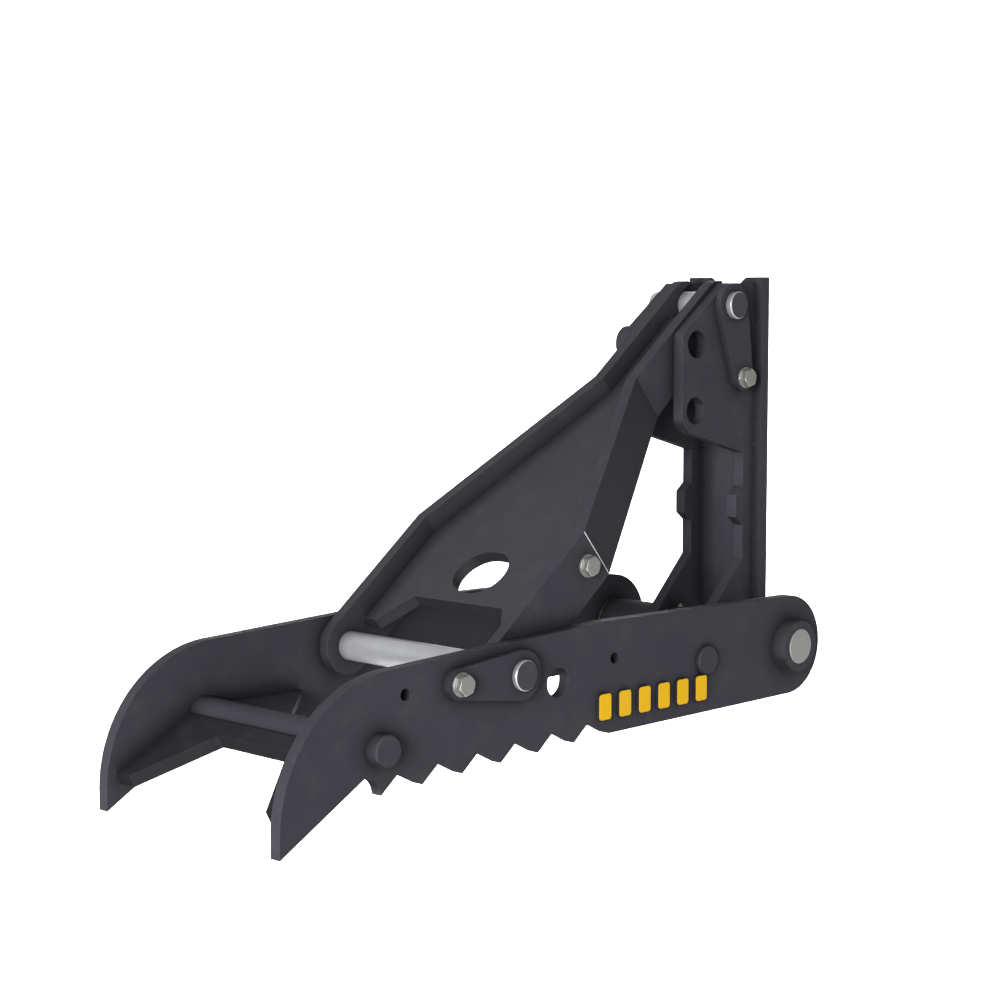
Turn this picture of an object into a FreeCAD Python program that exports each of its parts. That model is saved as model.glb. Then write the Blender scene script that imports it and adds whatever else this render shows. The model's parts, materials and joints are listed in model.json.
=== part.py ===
import FreeCAD, Part
import math
import os

import Sketcher
from FreeCAD import Placement, Rotation, Vector

# Weld-on excavator thumb: a base welded under the stick, two toothed tines on the main pin
# and a bent brace that is pinned to the tines below and to the base's ears above.
# The origin is the middle of the welding pad, +X into the stick, +Z up.

document = FreeCAD.newDocument("excavator_thumb")
sheet = document.addObject("Spreadsheet::Sheet", "dims")


class Size:
    """A number together with the formula that gives it."""

    def __init__(self, value, formula=None):
        self.value = float(value)
        self.formula = formula if formula else repr(round(float(value), 6))

    def combine(self, other, sign, value):
        return Size(value, f"({self.formula} {sign} {as_size(other).formula})")

    def __add__(self, other):
        return self.combine(other, "+", self.value + as_size(other).value)

    def __sub__(self, other):
        return self.combine(other, "-", self.value - as_size(other).value)

    def __mul__(self, other):
        return self.combine(other, "*", self.value * as_size(other).value)

    def __truediv__(self, other):
        return self.combine(other, "/", self.value / as_size(other).value)

    def __radd__(self, other):
        return as_size(other) + self

    def __rsub__(self, other):
        return as_size(other) - self

    def __rmul__(self, other):
        return as_size(other) * self

    def __neg__(self):
        return Size(0, "0") - self


def as_size(number):
    return number if isinstance(number, Size) else Size(number)


def sine(angle):
    return Size(math.sin(math.radians(angle.value)), f"sin({angle.formula} * 1 deg)")


def cosine(angle):
    return Size(math.cos(math.radians(angle.value)), f"cos({angle.formula} * 1 deg)")


def root(number):
    return Size(math.sqrt(number.value), f"sqrt({number.formula})")


def arc_tangent(rise, run):
    value = math.degrees(math.atan2(rise.value, run.value))
    return Size(value, f"(atan2({rise.formula}; {run.formula}) / 1 deg)")


def dim(alias, number):
    """Write one driving dimension to the sheet and return it."""
    dim.row += 1
    sheet.set(f"A{dim.row}", str(number))
    sheet.setAlias(f"A{dim.row}", alias)
    return Size(number, f"dims.{alias}")


dim.row = 0

# Driving dimensions, millimetres and degrees
plate = dim("plate", 19)
tine_outer = dim("tine_outer", 200)
side_gap = dim("side_gap", 3)
pin_clearance = dim("pin_clearance", 0.075)
main_pin_radius = dim("main_pin_radius", 28.575)
brace_pin_radius = dim("brace_pin_radius", 22.225)
pad_reach = dim("pad_reach", 96)
pad_height = dim("pad_height", 308.5)
pad_thickness = dim("pad_thickness", 20)
pad_width = dim("pad_width", 156)
pad_length = dim("pad_length", 567)
ear_outer = dim("ear_outer", 65)
ear_foot_radius = dim("ear_foot_radius", 52)
tube_radius = dim("tube_radius", 39)
bushing_wall = dim("bushing_wall", 4.4)
flag_length = dim("flag_length", 122)
flag_thickness = dim("flag_thickness", 12)
ear_bolt_x = dim("ear_bolt_x", 34)
ear_bolt_z = dim("ear_bolt_z", 427)
ear_angle_high = dim("ear_angle_high", 103.2)
ear_angle_mid = dim("ear_angle_mid", 152.7)
ear_angle_low = dim("ear_angle_low", 204.8)
lower_pin_back = dim("lower_pin_back", 432.5)
lower_pin_z = dim("lower_pin_z", 29)
spare_hole_run = dim("spare_hole_run", 83.3)
spare_hole_z = dim("spare_hole_z", 6.6)
tine_reach = dim("tine_reach", 1057)
tine_end_radius = dim("tine_end_radius", 79.5)
tine_nose_radius = dim("tine_nose_radius", 195)
tooth_pitch = dim("tooth_pitch", 75.2)
tooth_depth = dim("tooth_depth", 25.7)
rod_radius = dim("rod_radius", 23)
front_rod_out = dim("front_rod_out", 21)
rear_rod_out = dim("rear_rod_out", 8)
front_rod_back = dim("front_rod_back", 170)
front_rod_z = dim("front_rod_z", -40)
rear_rod_x = dim("rear_rod_x", -210)
cross_plate = dim("cross_plate", 20)
cross_slope = dim("cross_slope", 28.1)
brace_half_low = dim("brace_half_low", 45)
brace_half_high = dim("brace_half_high", 40)
brace_bend_low = dim("brace_bend_low", 244)
brace_high_run = dim("brace_high_run", 230.33)
web_thickness = dim("web_thickness", 20)
bolt_radius = dim("bolt_radius", 8)
bolt_flats = dim("bolt_flats", 27)
weld_gap = dim("weld_gap", 0.2)
document.recompute()

# Sizes that follow
tine_inner = tine_outer - plate
ear_inner = ear_outer - plate
hole_radius = brace_pin_radius + pin_clearance
main_hole_radius = main_pin_radius + pin_clearance
bolt_hole_radius = bolt_radius + 0.5
front_rod_x = front_rod_back - tine_reach
lower_pin_x = lower_pin_back - tine_reach
spare_hole_x = lower_pin_x + spare_hole_run
pad_face = pad_reach - pad_thickness
pad_bottom = pad_height - pad_length / 2
pad_top = pad_height + pad_length / 2
upper_pin_x = ear_bolt_x + flag_length * cosine(ear_angle_high)
upper_pin_z = ear_bolt_z + flag_length * sine(ear_angle_high)
brace_run = upper_pin_x - lower_pin_x
brace_rise = upper_pin_z - lower_pin_z
brace_length = root(brace_run * brace_run + brace_rise * brace_rise)
brace_angle = arc_tangent(brace_rise, brace_run)
brace_bend_high = brace_length - brace_high_run
brace_outer_low = tine_inner - side_gap
brace_outer_high = ear_inner - 2


# Sketch and feature helpers

def new_body(label):
    body = document.addObject("PartDesign::Body", label)
    body.Label = label
    return body


def new_sketch(body, role, name, offset=None):
    """Open a sketch on one of the body's own origin planes."""
    sketch = body.newObject("Sketcher::SketchObject", f"{body.Name}_{name}")
    plane = [feature for feature in body.Origin.OriginFeatures if feature.Role == role][0]
    sketch.AttachmentSupport = [(plane, "")]
    sketch.MapMode = "FlatFace"
    if offset is not None:
        sketch.AttachmentOffset = Placement(Vector(0, 0, offset.value), Rotation())
        sketch.setExpression(".AttachmentOffset.Base.z", offset.formula)
    return sketch


def fix_coordinate(sketch, kind, edge, point, size, name):
    """Hold one coordinate of a sketch point, on an axis where it is zero."""
    size = as_size(size)
    if abs(size.value) < 1e-9:
        axis = -2 if kind == "DistanceX" else -1
        sketch.addConstraint(Sketcher.Constraint("PointOnObject", edge, point, axis))
        return
    index = sketch.addConstraint(Sketcher.Constraint(kind, -1, 1, edge, point, size.value))
    sketch.renameConstraint(index, name)
    sketch.setExpression(f"Constraints.{name}", size.formula)


def fix_radius(sketch, edge, size, name):
    index = sketch.addConstraint(Sketcher.Constraint("Radius", edge, size.value))
    sketch.renameConstraint(index, name)
    sketch.setExpression(f"Constraints.{name}", size.formula)


def draw_outline(sketch, corners, tag="corner"):
    """Draw a closed outline. A third value in a corner makes the side that ends there an
    arc of that radius, turning left where it is positive and right where it is negative."""
    first = sketch.GeometryCount
    ends = []
    for number, corner in enumerate(corners):
        start = Vector(as_size(corners[number - 1][0]).value, as_size(corners[number - 1][1]).value, 0)
        end = Vector(as_size(corner[0]).value, as_size(corner[1]).value, 0)
        if len(corner) == 2:
            sketch.addGeometry(Part.LineSegment(start, end), False)
            ends.append((1, 2))
            continue
        bend = as_size(corner[2])
        turn = math.copysign(1, bend.value)
        radius = abs(bend.value)
        chord = end - start
        side = Vector(-chord.y, chord.x, 0).normalize() * turn
        centre = (start + end) * 0.5 + side * math.sqrt(max(radius ** 2 - chord.Length ** 2 / 4, 0))
        low, high = (start, end) if turn > 0 else (end, start)
        low_angle = math.atan2(low.y - centre.y, low.x - centre.x)
        high_angle = math.atan2(high.y - centre.y, high.x - centre.x)
        circle = Part.Circle(centre, Vector(0, 0, 1), radius)
        sketch.addGeometry(Part.ArcOfCircle(circle, low_angle, high_angle), False)
        ends.append((1, 2) if turn > 0 else (2, 1))
        fix_radius(sketch, first + number, bend if turn > 0 else -bend, f"{tag}_radius_{number}")
    for number, corner in enumerate(corners):
        edge = first + number
        following = (number + 1) % len(corners)
        joint = Sketcher.Constraint("Coincident", edge, ends[number][1], first + following, ends[following][0])
        sketch.addConstraint(joint)
        fix_coordinate(sketch, "DistanceX", edge, ends[number][1], corner[0], f"{tag}_x_{number}")
        fix_coordinate(sketch, "DistanceY", edge, ends[number][1], corner[1], f"{tag}_y_{number}")


def draw_circle(sketch, x, y, radius, tag):
    radius = as_size(radius)
    centre = Vector(as_size(x).value, as_size(y).value, 0)
    edge = sketch.addGeometry(Part.Circle(centre, Vector(0, 0, 1), radius.value), False)
    fix_coordinate(sketch, "DistanceX", edge, 3, x, f"{tag}_x")
    fix_coordinate(sketch, "DistanceY", edge, 3, y, f"{tag}_y")
    fix_radius(sketch, edge, radius, f"{tag}_radius")


def pad(sketch, length, name="pad", symmetric=True, backwards=False):
    body = sketch.getParentGeoFeatureGroup()
    feature = body.newObject("PartDesign::Pad", f"{body.Name}_{name}")
    feature.Profile = sketch
    feature.Length = length.value
    feature.setExpression("Length", length.formula)
    feature.SideType = "Symmetric" if symmetric else "One side"
    feature.Reversed = backwards
    return feature


def pocket_through(sketch, name):
    """Cut a sketch's outline through the whole body, both ways from the sketch."""
    body = sketch.getParentGeoFeatureGroup()
    document.recompute()
    before = body.Shape.Volume
    feature = body.newObject("PartDesign::Pocket", f"{body.Name}_{name}")
    feature.Profile = sketch
    feature.Type = "ThroughAll"
    feature.SideType = "Symmetric"
    document.recompute()
    if body.Shape.Volume > before - 1:
        raise RuntimeError(f"{body.Label}: {name} cuts nothing")
    return feature


def round_edges(body, spots, radius, name):
    """Round the edges along Y that pass through the given points of the outline."""
    document.recompute()
    names = []
    for number, edge in enumerate(body.Shape.Edges):
        first, last = edge.Vertexes[0].Point, edge.Vertexes[-1].Point
        if abs(first.x - last.x) > 0.01 or abs(first.z - last.z) > 0.01:
            continue
        if any(math.hypot(first.x - x, first.z - z) < 0.5 for x, z in spots):
            names.append(f"Edge{number + 1}")
    base = body.Tip
    feature = body.newObject("PartDesign::Fillet", f"{body.Name}_{name}")
    feature.Base = (base, names)
    feature.Radius = radius.value
    feature.setExpression("Radius", radius.formula)
    return feature


def place(body, x, y, z, angle=None):
    """Put a body at a point measured from the main pivot, turned in the XZ plane."""
    x = as_size(x) - pad_reach
    y = as_size(y)
    z = as_size(z) - pad_height
    turn = angle.value if angle is not None else 0
    body.Placement = Placement(Vector(x.value, y.value, z.value), Rotation(Vector(0, -1, 0), turn))
    body.setExpression(".Placement.Base.x", x.formula)
    body.setExpression(".Placement.Base.y", y.formula)
    body.setExpression(".Placement.Base.z", z.formula)
    if angle is not None and angle.value > 0:
        body.setExpression(".Placement.Rotation.Angle", f"{angle.formula} * 1 deg")


def turned(label, corners):
    """A piece turned about Y: its half outline gives (place along Y, radius)."""
    body = new_body(label)
    sketch = new_sketch(body, "YZ_Plane", "half")
    draw_outline(sketch, corners)
    feature = body.newObject("PartDesign::Revolution", f"{label}_turn")
    feature.Profile = sketch
    feature.ReferenceAxis = (sketch, ["H_Axis"])
    feature.Angle = 360
    return body


def ring(label, low, high, bore, radius):
    return turned(label, [(low, bore), (high, bore), (high, radius), (low, radius)])


def round_bar(label, low, high, radius, chamfer):
    return turned(label, [
        (low, 0),
        (high, 0),
        (high, radius - chamfer),
        (high - chamfer, radius),
        (low + chamfer, radius),
        (low, radius - chamfer),
    ])


def hexagon(flats):
    """Corners of a hexagon with a corner pointing up."""
    corner = flats / 3 ** 0.5
    half = flats / 2
    return [
        (half, -corner / 2),
        (half, corner / 2),
        (0, corner),
        (-half, corner / 2),
        (-half, -corner / 2),
        (0, -corner),
    ]


def hex_bolt(label, flats, head, radius, length):
    """A bolt with the underside of its head at Y = 0 and its shank towards +Y."""
    body = new_body(label)
    head_sketch = new_sketch(body, "XZ_Plane", "head")
    draw_outline(head_sketch, hexagon(flats))
    pad(head_sketch, head, "head_pad", symmetric=False)
    shank_sketch = new_sketch(body, "XZ_Plane", "shank")
    draw_circle(shank_sketch, 0, 0, radius, "shank")
    pad(shank_sketch, length, "shank_pad", symmetric=False, backwards=True)
    return body


def hex_nut(label, flats, bore, height):
    """A nut from Y = 0 towards +Y."""
    body = new_body(label)
    sketch = new_sketch(body, "XZ_Plane", "flats")
    draw_outline(sketch, hexagon(flats))
    draw_circle(sketch, 0, 0, bore, "bore")
    pad(sketch, height, symmetric=False, backwards=True)
    return body


def washer(label, bore, radius, thickness):
    return ring(label, as_size(0), thickness, bore, radius)


# Base: the welding pad
pad_half = pad_width / 2
notch_top = dim("notch_top", 44)
notch_foot = dim("notch_foot", 29)
notch_depth = dim("notch_depth", 12)
document.recompute()
base_plate = new_body("base_plate")
base_sketch = new_sketch(base_plate, "YZ_Plane", "face")
draw_outline(base_sketch, [
    (-pad_half, pad_bottom),
    (pad_half, pad_bottom),
    (pad_half, pad_top),
    (notch_top, pad_top),
    (notch_foot, pad_top - notch_depth),
    (-notch_foot, pad_top - notch_depth),
    (-notch_top, pad_top),
    (-pad_half, pad_top),
])
pad(base_sketch, pad_thickness, symmetric=False)
place(base_plate, pad_face, 0, 0)

# Base: the ears, each a lobe with three pin holes, a rib with a lug and a round foot
ear_rise = dim("ear_rise", 155)
lobe_front = dim("lobe_front", -109.5)
lobe_rise = dim("lobe_rise", 72.5)
lobe_drop = dim("lobe_drop", 81.5)
lobe_high_round = dim("lobe_high_round", 16)
lobe_low_round = dim("lobe_low_round", 30)
rib_front = dim("rib_front", 47)
rib_drop = dim("rib_drop", 125)
rib_foot = dim("rib_foot", 124)
lug_front = dim("lug_front", 29.5)
lug_middle = dim("lug_middle", 213)
lug_half_root = dim("lug_half_root", 32)
lug_half_tip = dim("lug_half_tip", 18)
foot_slope = dim("foot_slope", 136)
foot_rear = dim("foot_rear", -32)
ear_collar_radius = dim("ear_collar_radius", 28.5)
ear_collar_length = dim("ear_collar_length", 21)
document.recompute()
ear_top = ear_bolt_z + ear_rise
lobe_high = ear_bolt_z + lobe_rise
lobe_low = ear_bolt_z - lobe_drop
rib_top = ear_bolt_z - rib_drop


def ear_hole(angle):
    return (ear_bolt_x + flag_length * cosine(angle), ear_bolt_z + flag_length * sine(angle))


def make_ear(label, middle, bolt_hole):
    body = new_body(label)
    sketch = new_sketch(body, "XZ_Plane", "outline")
    draw_outline(sketch, [
        (pad_face, ear_top),
        (0, ear_top),
        (lobe_front, lobe_high),
        (lobe_front, lobe_low),
        (rib_front, rib_top),
        (rib_front, lug_middle + lug_half_root),
        (lug_front, lug_middle + lug_half_tip),
        (lug_front, lug_middle - lug_half_tip),
        (rib_front, lug_middle - lug_half_root),
        (rib_front, rib_foot),
        (ear_foot_radius * cosine(foot_slope), ear_foot_radius * sine(foot_slope)),
        (0, -ear_foot_radius, ear_foot_radius),
        (ear_foot_radius * cosine(foot_rear), ear_foot_radius * sine(foot_rear), ear_foot_radius),
        (pad_face, pad_bottom),
    ])
    for name, angle in (("high", ear_angle_high), ("mid", ear_angle_mid), ("low", ear_angle_low)):
        x, z = ear_hole(angle)
        draw_circle(sketch, x, z, hole_radius, f"pin_{name}")
    draw_circle(sketch, 0, 0, tube_radius + 0.05, "tube")
    if bolt_hole:
        draw_circle(sketch, ear_bolt_x, ear_bolt_z, bolt_hole_radius, "bolt")
    pad(sketch, plate)
    round_edges(body, [(lobe_front.value, lobe_high.value)], lobe_high_round, "high_round")
    round_edges(body, [(lobe_front.value, lobe_low.value)], lobe_low_round, "low_round")
    place(body, 0, middle, 0)
    return body


ear_middle = ear_outer - plate / 2
make_ear("ear_left", ear_middle, False)
make_ear("ear_right", -ear_middle, True)

# Base: the collar around the middle hole, on the left ear's outer face
ear_collar = ring("ear_collar", ear_outer, ear_outer + ear_collar_length, hole_radius, ear_collar_radius)
mid_hole_x, mid_hole_z = ear_hole(ear_angle_mid)
place(ear_collar, mid_hole_x, 0, mid_hole_z)

# Base: the pivot tube with its bushings, thrust washers and grease nipple
tube_half = tine_inner - 3.5
nipple_offset = dim("nipple_offset", 28)
nipple_radius = dim("nipple_radius", 4)
bushing_length = dim("bushing_length", 60)
washer_thickness = dim("washer_thickness", 2.5)
document.recompute()
bushing_radius = main_hole_radius + bushing_wall
pivot_tube = ring("pivot_tube", -tube_half, tube_half, bushing_radius, tube_radius)
nipple_sketch = new_sketch(pivot_tube, "XY_Plane", "nipple", tube_radius - 3)
draw_circle(nipple_sketch, 0, nipple_offset, nipple_radius, "nipple")
nipple_hole = pivot_tube.newObject("PartDesign::Pocket", "pivot_tube_nipple_hole")
nipple_hole.Profile = nipple_sketch
nipple_hole.Length = 12
nipple_hole.SideType = "Symmetric"
place(pivot_tube, 0, 0, 0)

for side, sign in (("left", 1), ("right", -1)):
    outer_end = sign * tube_half
    inner_end = sign * (tube_half - bushing_length)
    bushing = ring(f"bushing_{side}", inner_end, outer_end, main_hole_radius, bushing_radius - 0.02)
    place(bushing, 0, 0, 0)
    washer_end = sign * (tube_half + washer_thickness)
    thrust = ring(f"thrust_washer_{side}", outer_end, washer_end, main_hole_radius + 0.2, tube_radius)
    place(thrust, 0, 0, 0)

grease_nipple = new_body("grease_nipple")
nipple_half = new_sketch(grease_nipple, "XZ_Plane", "half")
draw_outline(nipple_half, [
    (0, 0),
    (nipple_radius - 0.05, 0),
    (nipple_radius - 0.05, 4),
    (nipple_radius + 1, 4),
    (nipple_radius + 1, 6),
    (nipple_radius - 1.5, 6.8),
    (nipple_radius - 1.5, 8.5),
    (0, 9.2),
])
nipple_turn = grease_nipple.newObject("PartDesign::Revolution", "grease_nipple_turn")
nipple_turn.Profile = nipple_half
nipple_turn.ReferenceAxis = (nipple_half, ["V_Axis"])
nipple_turn.Angle = 360
place(grease_nipple, 0, nipple_offset, tube_radius - 4)

# Tines: one outline for both, with the flag's bolt holes in the right one only
tip_foot = dim("tip_foot", -160)
tine_nose = dim("tine_nose", -131)
shoulder_back = dim("shoulder_back", 185)
shoulder_z = dim("shoulder_z", 63.7)
crown_x = dim("crown_x", -440)
crown_z = dim("crown_z", 85)
gullet_back = dim("gullet_back", 145)
gullet_z = dim("gullet_z", -75.8)
gullet_radius = dim("gullet_radius", 29.5)
first_tooth_back = dim("first_tooth_back", 173.8)
first_tooth_z = dim("first_tooth_z", -103.4)
tooth_run = dim("tooth_run", 31.3)
tooth_rise = dim("tooth_rise", 3.32)
spare_bolt_back = dim("spare_bolt_back", 218)
spare_bolt_run = dim("spare_bolt_run", 204.5)
spare_bolt_z = dim("spare_bolt_z", 27.7)
flag_lean = dim("flag_lean", 179)
document.recompute()
TEETH = 7

shoulder_x = shoulder_back - tine_reach
gullet_x = gullet_back - tine_reach
first_tooth_x = first_tooth_back - tine_reach
spare_bolt_front_x = spare_bolt_back - tine_reach
spare_bolt_rear_x = lower_pin_x + spare_bolt_run
lower_bolt_x = lower_pin_x + flag_length * cosine(flag_lean)
lower_bolt_z = lower_pin_z + flag_length * sine(flag_lean)
tine_bolts = {
    "front": (spare_bolt_front_x, spare_bolt_z),
    "middle": (lower_bolt_x, lower_bolt_z),
    "rear": (spare_bolt_rear_x, spare_bolt_z),
}


def tooth_corners():
    """Tips and roots of the teeth, from the front towards the pivot. A round cut leads to the first tip."""
    corners = [(first_tooth_x, first_tooth_z, -gullet_radius), (first_tooth_x + tooth_run, first_tooth_z + tooth_depth)]
    for number in range(1, TEETH):
        tip_x = first_tooth_x + tooth_pitch * number
        tip_z = first_tooth_z + tooth_rise * number
        corners.append((tip_x, tip_z))
        if number < TEETH - 1:
            corners.append((tip_x + tooth_run, tip_z + tooth_depth))
    return corners


def make_tine(label, middle, bolt_holes):
    body = new_body(label)
    sketch = new_sketch(body, "XZ_Plane", "outline")
    draw_outline(sketch, [
        (crown_x, crown_z),
        (shoulder_x, shoulder_z),
        (-tine_reach, tine_nose, tine_nose_radius),
        (-tine_reach, tip_foot),
        (gullet_x, gullet_z),
        *tooth_corners(),
        (0, -tine_end_radius),
        (tine_end_radius, 0, tine_end_radius),
        (0, tine_end_radius, tine_end_radius),
    ])
    draw_circle(sketch, 0, 0, main_hole_radius, "main_pin")
    draw_circle(sketch, lower_pin_x, lower_pin_z, hole_radius, "brace_pin")
    draw_circle(sketch, spare_hole_x, spare_hole_z, hole_radius, "spare_pin")
    draw_circle(sketch, front_rod_x, front_rod_z, rod_radius + 0.05, "front_rod")
    draw_circle(sketch, rear_rod_x, 0, rod_radius + 0.05, "rear_rod")
    if bolt_holes:
        for name, (x, z) in tine_bolts.items():
            draw_circle(sketch, x, z, bolt_hole_radius, f"bolt_{name}")
    pad(sketch, plate)
    place(body, 0, middle, 0)
    return body


tine_middle = tine_outer - plate / 2
make_tine("tine_left", tine_middle, False)
make_tine("tine_right", -tine_middle, True)

# Tines: the rods, the cross plate with its two legs and the corner gussets
front_rod_half = tine_outer + front_rod_out
rear_rod_half = tine_outer + rear_rod_out
leg_reach = dim("leg_reach", 167)
leg_root = dim("leg_root", 55)
leg_inner_tip = dim("leg_inner_tip", 151)
leg_inner_root = dim("leg_inner_root", 76)
gusset_thickness = dim("gusset_thickness", 12)
gusset_length = dim("gusset_length", 176)
gusset_top = dim("gusset_top", -30)
gusset_tip = dim("gusset_tip", 171)
document.recompute()
gusset_reach = front_rod_x + gusset_length

front_rod = round_bar("front_rod", -front_rod_half, front_rod_half, rod_radius, as_size(2))
place(front_rod, front_rod_x, 0, front_rod_z)
rear_rod = round_bar("rear_rod", -rear_rod_half, rear_rod_half, rod_radius, as_size(2))
place(rear_rod, rear_rod_x, 0, 0)

front_plate = new_body("front_plate")
front_sketch = new_sketch(front_plate, "XY_Plane", "outline")
front_edge = -(rod_radius + weld_gap)
draw_outline(front_sketch, [
    (front_edge, -tine_inner),
    (front_edge, tine_inner),
    (-leg_reach, tine_inner),
    (-leg_reach, leg_inner_tip),
    (-leg_root, leg_inner_root),
    (-leg_root, -leg_inner_root),
    (-leg_reach, -leg_inner_tip),
    (-leg_reach, -tine_inner),
])
pad(front_sketch, cross_plate)
place(front_plate, front_rod_x - 1.5, 0, front_rod_z + 3.2, cross_slope)

for side, sign in (("left", 1), ("right", -1)):
    gusset = new_body(f"gusset_{side}")
    gusset_sketch = new_sketch(gusset, "XY_Plane", "outline")
    root_x = front_rod_x + rod_radius + weld_gap
    draw_outline(gusset_sketch, [
        (root_x, sign * tine_inner),
        (root_x, as_size(sign * 14)),
        (gusset_reach, sign * gusset_tip),
        (gusset_reach, sign * tine_inner),
    ])
    pad(gusset_sketch, gusset_thickness)
    place(gusset, 0, 0, gusset_top - gusset_thickness / 2)

# Main pin between two collars, held by a cross bolt in the left collar
collar_radius = dim("collar_radius", 41)
collar_length = dim("collar_length", 24)
cross_bolt_radius = dim("cross_bolt_radius", 6)
cross_flats = dim("cross_flats", 19)
cross_head_height = dim("cross_head_height", 7.5)
cross_nut_height = dim("cross_nut_height", 10)
document.recompute()
collar_end = tine_outer + collar_length
cross_bolt_y = tine_outer + collar_length / 2


def drill_cross_hole(body):
    sketch = new_sketch(body, "XY_Plane", "cross_hole")
    draw_circle(sketch, 0, cross_bolt_y, cross_bolt_radius + 0.1, "cross_hole")
    pocket_through(sketch, "cross_pocket")


for side, sign in (("left", 1), ("right", -1)):
    collar = ring(f"collar_{side}", sign * tine_outer, sign * collar_end, main_hole_radius, collar_radius)
    if side == "left":
        drill_cross_hole(collar)
    place(collar, 0, 0, 0)

main_pin = round_bar("main_pin", -(collar_end + 0.5), collar_end + 0.5, main_pin_radius, as_size(1.5))
drill_cross_hole(main_pin)
place(main_pin, 0, 0, 0)

cross_bolt = new_body("cross_bolt")
cross_head = new_sketch(cross_bolt, "XY_Plane", "head", collar_radius + 0.1)
draw_outline(cross_head, hexagon(cross_flats))
pad(cross_head, cross_head_height, "head_pad", symmetric=False)
cross_shank = new_sketch(cross_bolt, "XY_Plane", "shank", collar_radius + 0.1)
draw_circle(cross_shank, 0, 0, cross_bolt_radius, "shank")
pad(cross_shank, 2 * collar_radius + 14, "shank_pad", symmetric=False, backwards=True)
place(cross_bolt, 0, cross_bolt_y, 0)

cross_nut = new_body("cross_nut")
nut_sketch = new_sketch(cross_nut, "XY_Plane", "flats", -(collar_radius + 0.1))
draw_outline(nut_sketch, hexagon(cross_flats))
draw_circle(nut_sketch, 0, 0, cross_bolt_radius + 0.05, "bore")
pad(nut_sketch, cross_nut_height, symmetric=False, backwards=True)
place(cross_nut, 0, cross_bolt_y, 0)

# Weld nuts for the flags' bolts, on the inner faces of the right tine and the right ear
nut_flats = dim("nut_flats", 24)
nut_height = dim("nut_height", 13)
document.recompute()
for name, (x, z) in tine_bolts.items():
    nut = hex_nut(f"tine_nut_{name}", nut_flats, bolt_radius + 0.06, nut_height)
    place(nut, x, -tine_inner, z)
ear_nut = hex_nut("ear_nut", nut_flats, bolt_radius + 0.06, nut_height)
place(ear_nut, ear_bolt_x, -ear_inner, ear_bolt_z)

# Brace: side plates bent twice, drawn along the line from the lower pin to the upper pin
brace_end = dim("brace_end", 70)
eye_clearance = dim("eye_clearance", 0.7)
document.recompute()
flare_rise = brace_outer_low - brace_outer_high
flare_run = brace_bend_high - brace_bend_low
flare_slant = root(flare_rise * flare_rise + flare_run * flare_run)
flare_thickness = plate * flare_slant / flare_run
# where the inner face bends, a little before the outer face does
bend_shift = (flare_thickness - plate) * flare_run / flare_rise
document.recompute()


def make_brace_side(label, sign):
    body = new_body(label)
    low, high = sign * brace_outer_low, sign * brace_outer_high
    low_inner, high_inner = sign * (brace_outer_low - plate), sign * (brace_outer_high - plate)
    band = new_sketch(body, "XY_Plane", "band")
    draw_outline(band, [
        (-brace_end, low_inner),
        (brace_bend_low - bend_shift, low_inner),
        (brace_bend_high - bend_shift, high_inner),
        (brace_length + brace_end, high_inner),
        (brace_length + brace_end, high),
        (brace_bend_high, high),
        (brace_bend_low, low),
        (-brace_end, low),
    ])
    pad(band, brace_half_low * 3)
    taper = (brace_half_low - brace_half_high) / brace_length
    lean = root(1 - taper * taper)
    frame = new_sketch(body, "XZ_Plane", "profile")
    margin = brace_end + 20
    draw_outline(frame, [
        (-margin, as_size(-90)),
        (brace_length + margin, as_size(-90)),
        (brace_length + margin, as_size(90)),
        (-margin, as_size(90)),
    ], "frame")
    draw_outline(frame, [
        (brace_length + brace_half_high * taper, -(brace_half_high * lean)),
        (brace_length + brace_half_high, 0, brace_half_high),
        (brace_length + brace_half_high * taper, brace_half_high * lean, brace_half_high),
        (brace_half_low * taper, brace_half_low * lean),
        (-brace_half_low, 0, brace_half_low),
        (brace_half_low * taper, -(brace_half_low * lean), brace_half_low),
    ], "profile")
    pocket_through(frame, "profile_cut")
    eyes = new_sketch(body, "XZ_Plane", "eyes")
    draw_circle(eyes, 0, 0, hole_radius, "lower_eye")
    slot = hole_radius + eye_clearance
    draw_outline(eyes, [
        (brace_length + margin, -slot),
        (brace_length + margin, slot),
        (brace_length, slot),
        (brace_length - slot, 0, slot),
        (brace_length, -slot, slot),
    ], "upper_eye")
    pocket_through(eyes, "eyes_cut")
    place(body, lower_pin_x, 0, lower_pin_z, brace_angle)
    return body


make_brace_side("brace_side_left", 1)
make_brace_side("brace_side_right", -1)

# Brace: the web between the side plates, with a notch over the lower pin and one plain slot
web_start = dim("web_start", 48)
web_end_gap = dim("web_end_gap", 45.33)
web_offset = dim("web_offset", 1)
web_notch = dim("web_notch", 105)
web_notch_half = dim("web_notch_half", 95)
web_tip = dim("web_tip", 24)
web_slot_at = dim("web_slot_at", 169)
web_slot_half = dim("web_slot_half", 6)
web_slot_radius = dim("web_slot_radius", 43)
document.recompute()
web_low = brace_outer_low - plate
web_high = brace_outer_high - plate
web_end = brace_length - web_end_gap
brace_web = new_body("brace_web")
web_sketch = new_sketch(brace_web, "XY_Plane", "outline")
draw_outline(web_sketch, [
    (web_start, -web_low),
    (brace_bend_low - bend_shift, -web_low),
    (brace_bend_high - bend_shift, -web_high),
    (web_end, -web_high),
    (web_end, web_high),
    (brace_bend_high - bend_shift, web_high),
    (brace_bend_low - bend_shift, web_low),
    (web_start, web_low),
    (web_start, web_low - web_tip),
    (web_notch, web_notch_half),
    (web_notch, -web_notch_half),
    (web_start, -(web_low - web_tip)),
])
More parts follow.
